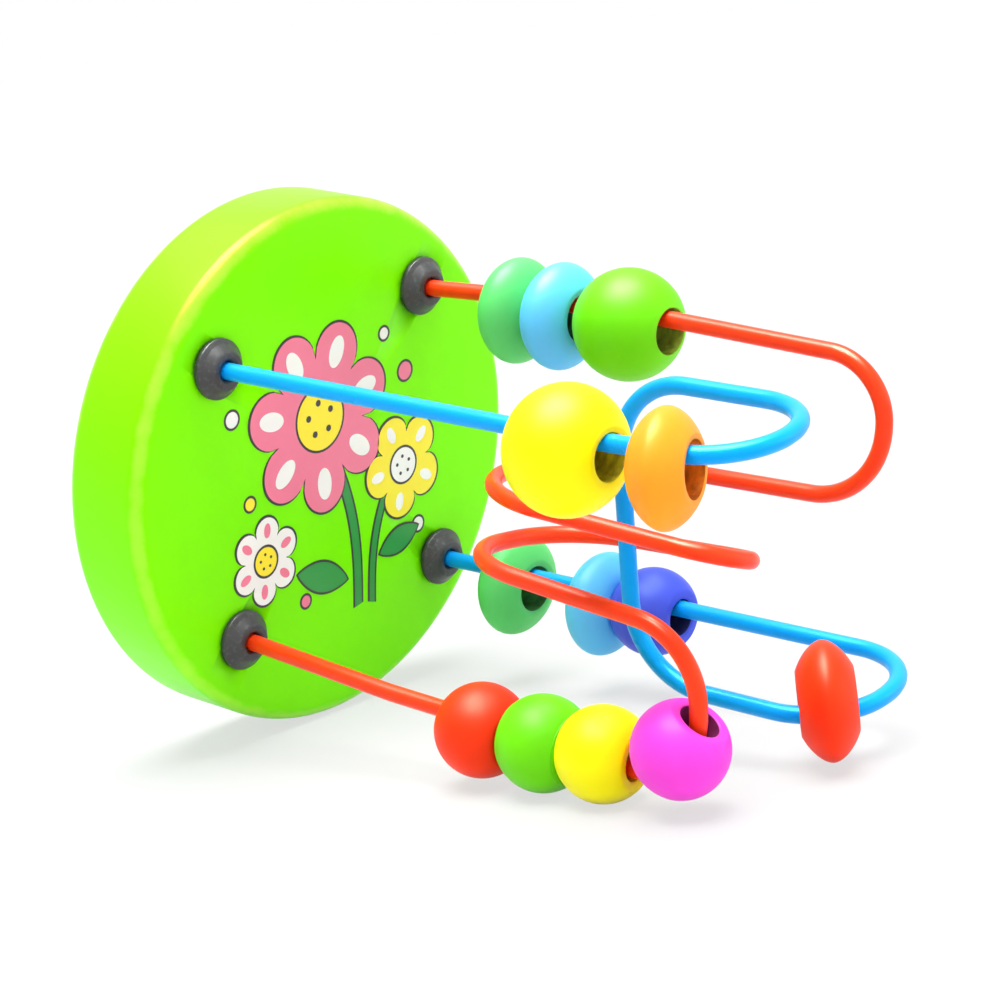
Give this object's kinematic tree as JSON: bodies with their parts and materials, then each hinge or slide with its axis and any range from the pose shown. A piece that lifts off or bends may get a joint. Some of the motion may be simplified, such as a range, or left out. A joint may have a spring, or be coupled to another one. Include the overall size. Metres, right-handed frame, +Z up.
{
  "type": "bead maze",
  "caption": "Small tabletop bead maze: a thick round lime-green base with bent red and blue coated wires that carry painted ball and saucer beads, free to slide along them.",
  "frame": {"origin": "centre of the base's flat underside", "axes": "+Z up through the base, along the feet of the wires; the four wire holes are a square on the diagonals of X and Y"},
  "size_m": [0.09, 0.09, 0.1212],
  "materials": {
    "base_green": "bright lime-green gloss paint on turned wood",
    "cap_black": "satin black moulded plastic",
    "wire_red": "red plastic coating on bent steel wire",
    "wire_blue": "blue plastic coating on bent steel wire",
    "bead_soft_green": "satin paint on turned wood",
    "bead_sky": "satin paint on turned wood",
    "bead_leaf": "satin paint on turned wood",
    "bead_yellow": "satin paint on turned wood",
    "bead_orange": "satin paint on turned wood",
    "bead_dark_blue": "satin paint on turned wood",
    "bead_red": "satin paint on turned wood",
    "bead_pink": "satin paint on turned wood"
  },
  "bodies": {
    "frame": {"base_disc": "base_green", "wire_cap_back_left": "cap_black", "wire_cap_front_left": "cap_black", "wire_cap_back_right": "cap_black", "wire_cap_front_right": "cap_black", "red_wire": "wire_red", "blue_wire": "wire_blue"},
    "bead_back_left_green_saucer": {"back_left_green_saucer": "bead_soft_green"},
    "bead_back_left_sky_saucer": {"back_left_sky_saucer": "bead_sky"},
    "bead_back_left_green_ball": {"back_left_green_ball": "bead_leaf"},
    "bead_front_left_yellow_ball": {"front_left_yellow_ball": "bead_yellow"},
    "bead_front_left_orange_saucer": {"front_left_orange_saucer": "bead_orange"},
    "bead_back_right_green_saucer": {"back_right_green_saucer": "bead_soft_green"},
    "bead_back_right_sky_saucer": {"back_right_sky_saucer": "bead_sky"},
    "bead_back_right_dark_blue_ball": {"back_right_dark_blue_ball": "bead_dark_blue"},
    "bead_front_right_red_ball": {"front_right_red_ball": "bead_red"},
    "bead_front_right_green_ball": {"front_right_green_ball": "bead_leaf"},
    "bead_front_right_yellow_ball": {"front_right_yellow_ball": "bead_yellow"},
    "bead_right_red_saucer": {"right_red_saucer": "bead_red"},
    "bead_front_right_pink_ball": {"front_right_pink_ball": "bead_pink"}
  },
  "joints": [
    {"name": "back_left_green_saucer_slide", "type": "slide", "parent": "frame", "child": "bead_back_left_green_saucer", "axis": [-0.0424, 0.0061, 0.9991], "range_m": [-0.0138, 0.011]},
    {"name": "back_left_sky_saucer_slide", "type": "slide", "parent": "bead_back_left_green_saucer", "child": "bead_back_left_sky_saucer", "axis": [-0.0424, 0.0061, 0.9991], "range_m": [0, 0.011]},
    {"name": "back_left_green_ball_slide", "type": "slide", "parent": "bead_back_left_sky_saucer", "child": "bead_back_left_green_ball", "axis": [-0.0424, 0.0061, 0.9991], "range_m": [0, 0.0102]},
    {"name": "front_left_yellow_ball_slide", "type": "slide", "parent": "frame", "child": "bead_front_left_yellow_ball", "axis": [-0.0267, -0.0037, 0.9996], "range_m": [-0.0595, 0.0006]},
    {"name": "front_left_orange_saucer_slide", "type": "slide", "parent": "bead_front_left_yellow_ball", "child": "bead_front_left_orange_saucer", "axis": [-0.0596, -0.0119, 0.9982], "range_m": [-0.0035, 0.0006]},
    {"name": "back_right_green_saucer_slide", "type": "slide", "parent": "frame", "child": "bead_back_right_green_saucer", "axis": [-0.0347, 0.0097, 0.9994], "range_m": [-0.0101, 0.011]},
    {"name": "back_right_sky_saucer_slide", "type": "slide", "parent": "bead_back_right_green_saucer", "child": "bead_back_right_sky_saucer", "axis": [-0.0347, 0.0097, 0.9994], "range_m": [-0.0095, 0.0112]},
    {"name": "back_right_dark_blue_ball_slide", "type": "slide", "parent": "bead_back_right_sky_saucer", "child": "bead_back_right_dark_blue_ball", "axis": [-0.0347, 0.0097, 0.9994], "range_m": [0, 0.0112]},
    {"name": "front_right_yellow_ball_slide", "type": "slide", "parent": "frame", "child": "bead_front_right_yellow_ball", "axis": [0.0255, -0.003, 0.9997], "range_m": [-0.0133, 0]},
    {"name": "front_right_green_ball_slide", "type": "slide", "parent": "bead_front_right_yellow_ball", "child": "bead_front_right_green_ball", "axis": [0.0255, -0.003, 0.9997], "range_m": [-0.0133, 0]},
    {"name": "front_right_red_ball_slide", "type": "slide", "parent": "bead_front_right_green_ball", "child": "bead_front_right_red_ball", "axis": [0.0255, -0.003, 0.9997], "range_m": [-0.0133, 0]},
    {"name": "right_red_saucer_travel", "type": "hinge", "parent": "frame", "child": "bead_right_red_saucer", "pos_m": [0.02274, 0.01198, 0.1063], "axis": [-0.9991, -0.0349, -0.026], "range_deg": [-38, 38]},
    {"name": "front_right_pink_ball_travel", "type": "hinge", "parent": "frame", "child": "bead_front_right_pink_ball", "pos_m": [0.01341, -0.02473, 0.0996], "axis": [-0.0253, -0.9997, 0.0017], "range_deg": [0, 41]}
  ]
}
